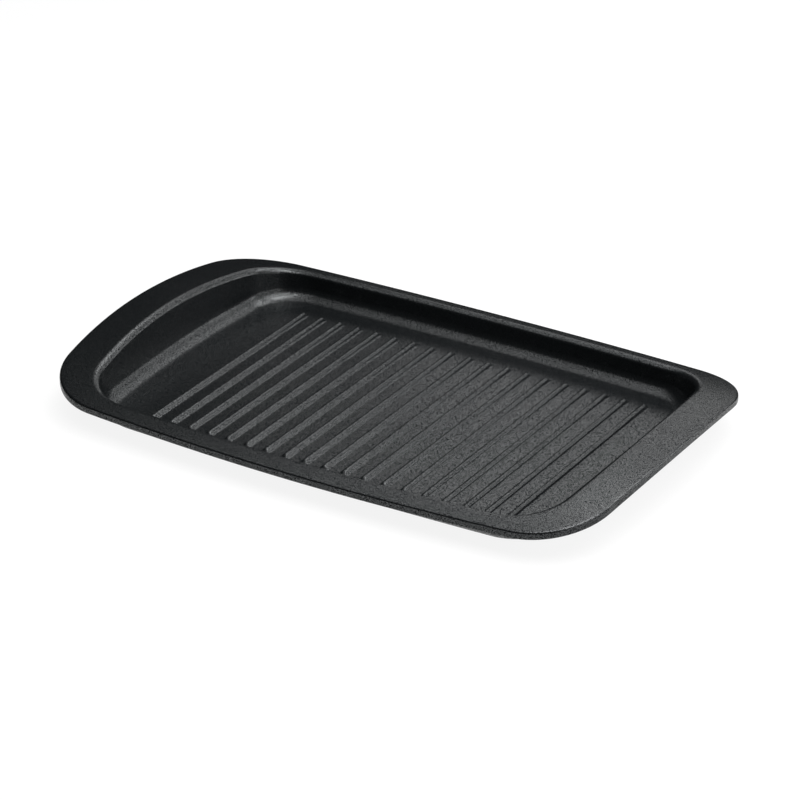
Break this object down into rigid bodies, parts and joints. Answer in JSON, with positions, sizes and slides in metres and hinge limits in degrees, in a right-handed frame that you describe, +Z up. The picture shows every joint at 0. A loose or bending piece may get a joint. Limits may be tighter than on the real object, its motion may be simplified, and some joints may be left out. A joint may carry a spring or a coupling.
{
  "type": "grill plate",
  "caption": "Shallow cast grill plate with a ribbed floor, drafted walls, a flat rim that arches up into a broad handle flange at each end, and perforated steel discs in its base.",
  "frame": {"origin": "middle of the flat face that the plate stands on", "axes": "+X along the plate towards one handle, +Y towards a long side, +Z up, out of the cooking well"},
  "size_m": [0.457, 0.2928, 0.0388],
  "materials": {
    "coated_casting": "cast aluminium under a near-black, fine-grained non-stick coat with a satin sheen",
    "induction_steel": "bare ferritic stainless steel, turned in fine rings"
  },
  "bodies": {
    "root": {"cast_plate": "coated_casting", "induction_disc_left": "induction_steel", "induction_disc_right": "induction_steel"}
  },
  "joints": []
}
